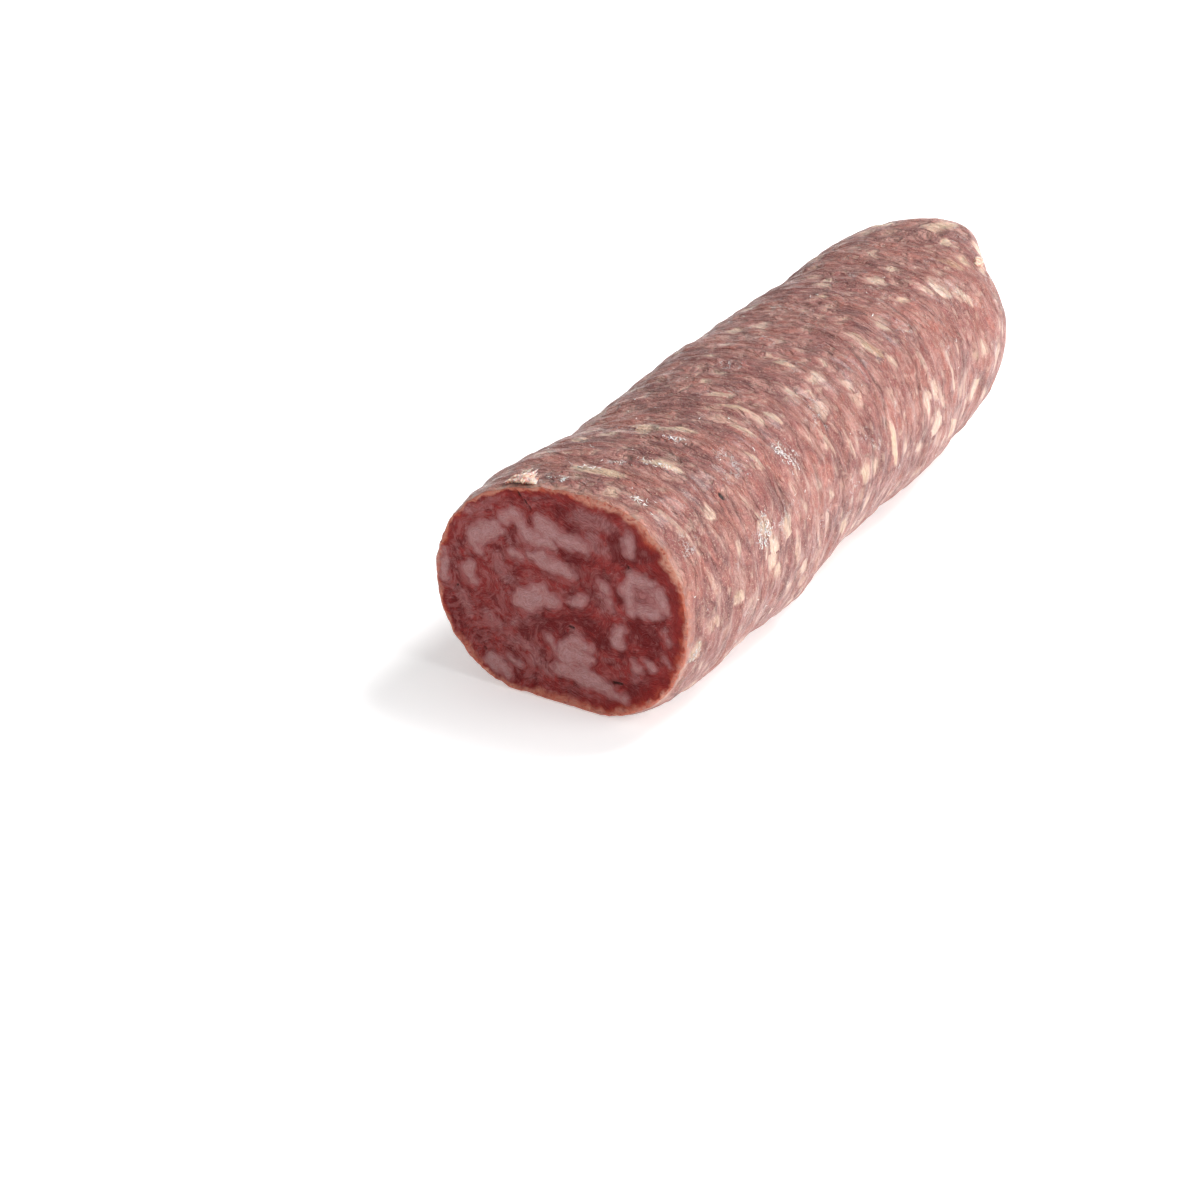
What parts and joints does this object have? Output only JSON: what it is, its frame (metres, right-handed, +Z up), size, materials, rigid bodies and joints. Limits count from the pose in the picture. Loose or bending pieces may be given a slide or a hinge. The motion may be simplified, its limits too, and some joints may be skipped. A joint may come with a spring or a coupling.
{
  "type": "cured sausage",
  "caption": "Peeled stick of dry-cured salami lying on its side, cut square at one end to show the marbled meat and fat, and rounded at the other.",
  "frame": {"origin": "centre of the footprint's bounding box, on the surface that the stick lies on", "axes": "+Y along the stick from the cut face to the rounded end, +Z up, +X to the right seen from the cut face"},
  "size_m": [0.0514, 0.1586, 0.0409],
  "materials": {
    "cured_meat": "dry, slightly greasy satin; mauve-brown lean meat with cream fat flecks outside, dark red and pale pink on the cut face"
  },
  "bodies": {
    "root": {"sausage": "cured_meat"}
  },
  "joints": []
}
